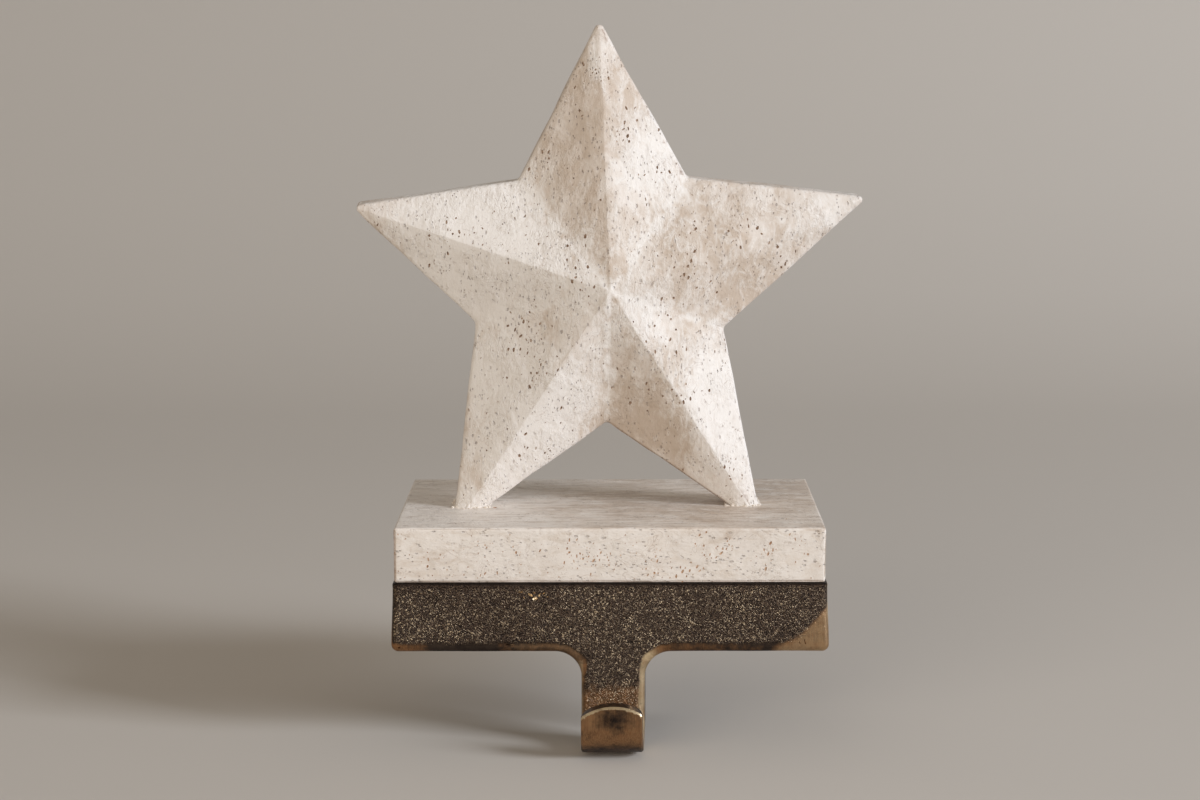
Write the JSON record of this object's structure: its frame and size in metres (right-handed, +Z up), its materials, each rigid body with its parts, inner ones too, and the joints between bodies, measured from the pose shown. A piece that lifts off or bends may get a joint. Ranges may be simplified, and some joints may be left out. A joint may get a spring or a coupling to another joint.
{
  "type": "mantel stocking holder",
  "caption": "Mantel stocking holder: a faceted stone star stands on a stone slab over a cast brass bracket, whose stem hangs in front of the shelf and bends up into a hook.",
  "frame": {"origin": "on the shelf's top surface, under the middle of the stone slab: the underside of the felt pad is z = 0", "axes": "+Z up; +Y points from the room into the shelf, away from the apron's back face, so the star's facets and the hook face -Y; +X is to the right as seen from the front"},
  "size_m": [0.1803, 0.111, 0.2489],
  "materials": {
    "travertine": "honed beige travertine with small open pits",
    "antique_brass": "sand-cast, dark antique patina, worn bright on the filed edges",
    "steel": "plain steel",
    "yellow_brass": "turned brass",
    "felt": "dark brown felt"
  },
  "bodies": {
    "root": {"star": "travertine", "base_slab": "travertine", "hook_bracket": "antique_brass", "mantel_pad": "felt", "star_pin_left": "steel", "star_pin_right": "steel", "slab_screw_left": "steel", "slab_screw_right": "steel", "slab_insert_left": "yellow_brass", "slab_insert_right": "yellow_brass"}
  },
  "joints": []
}
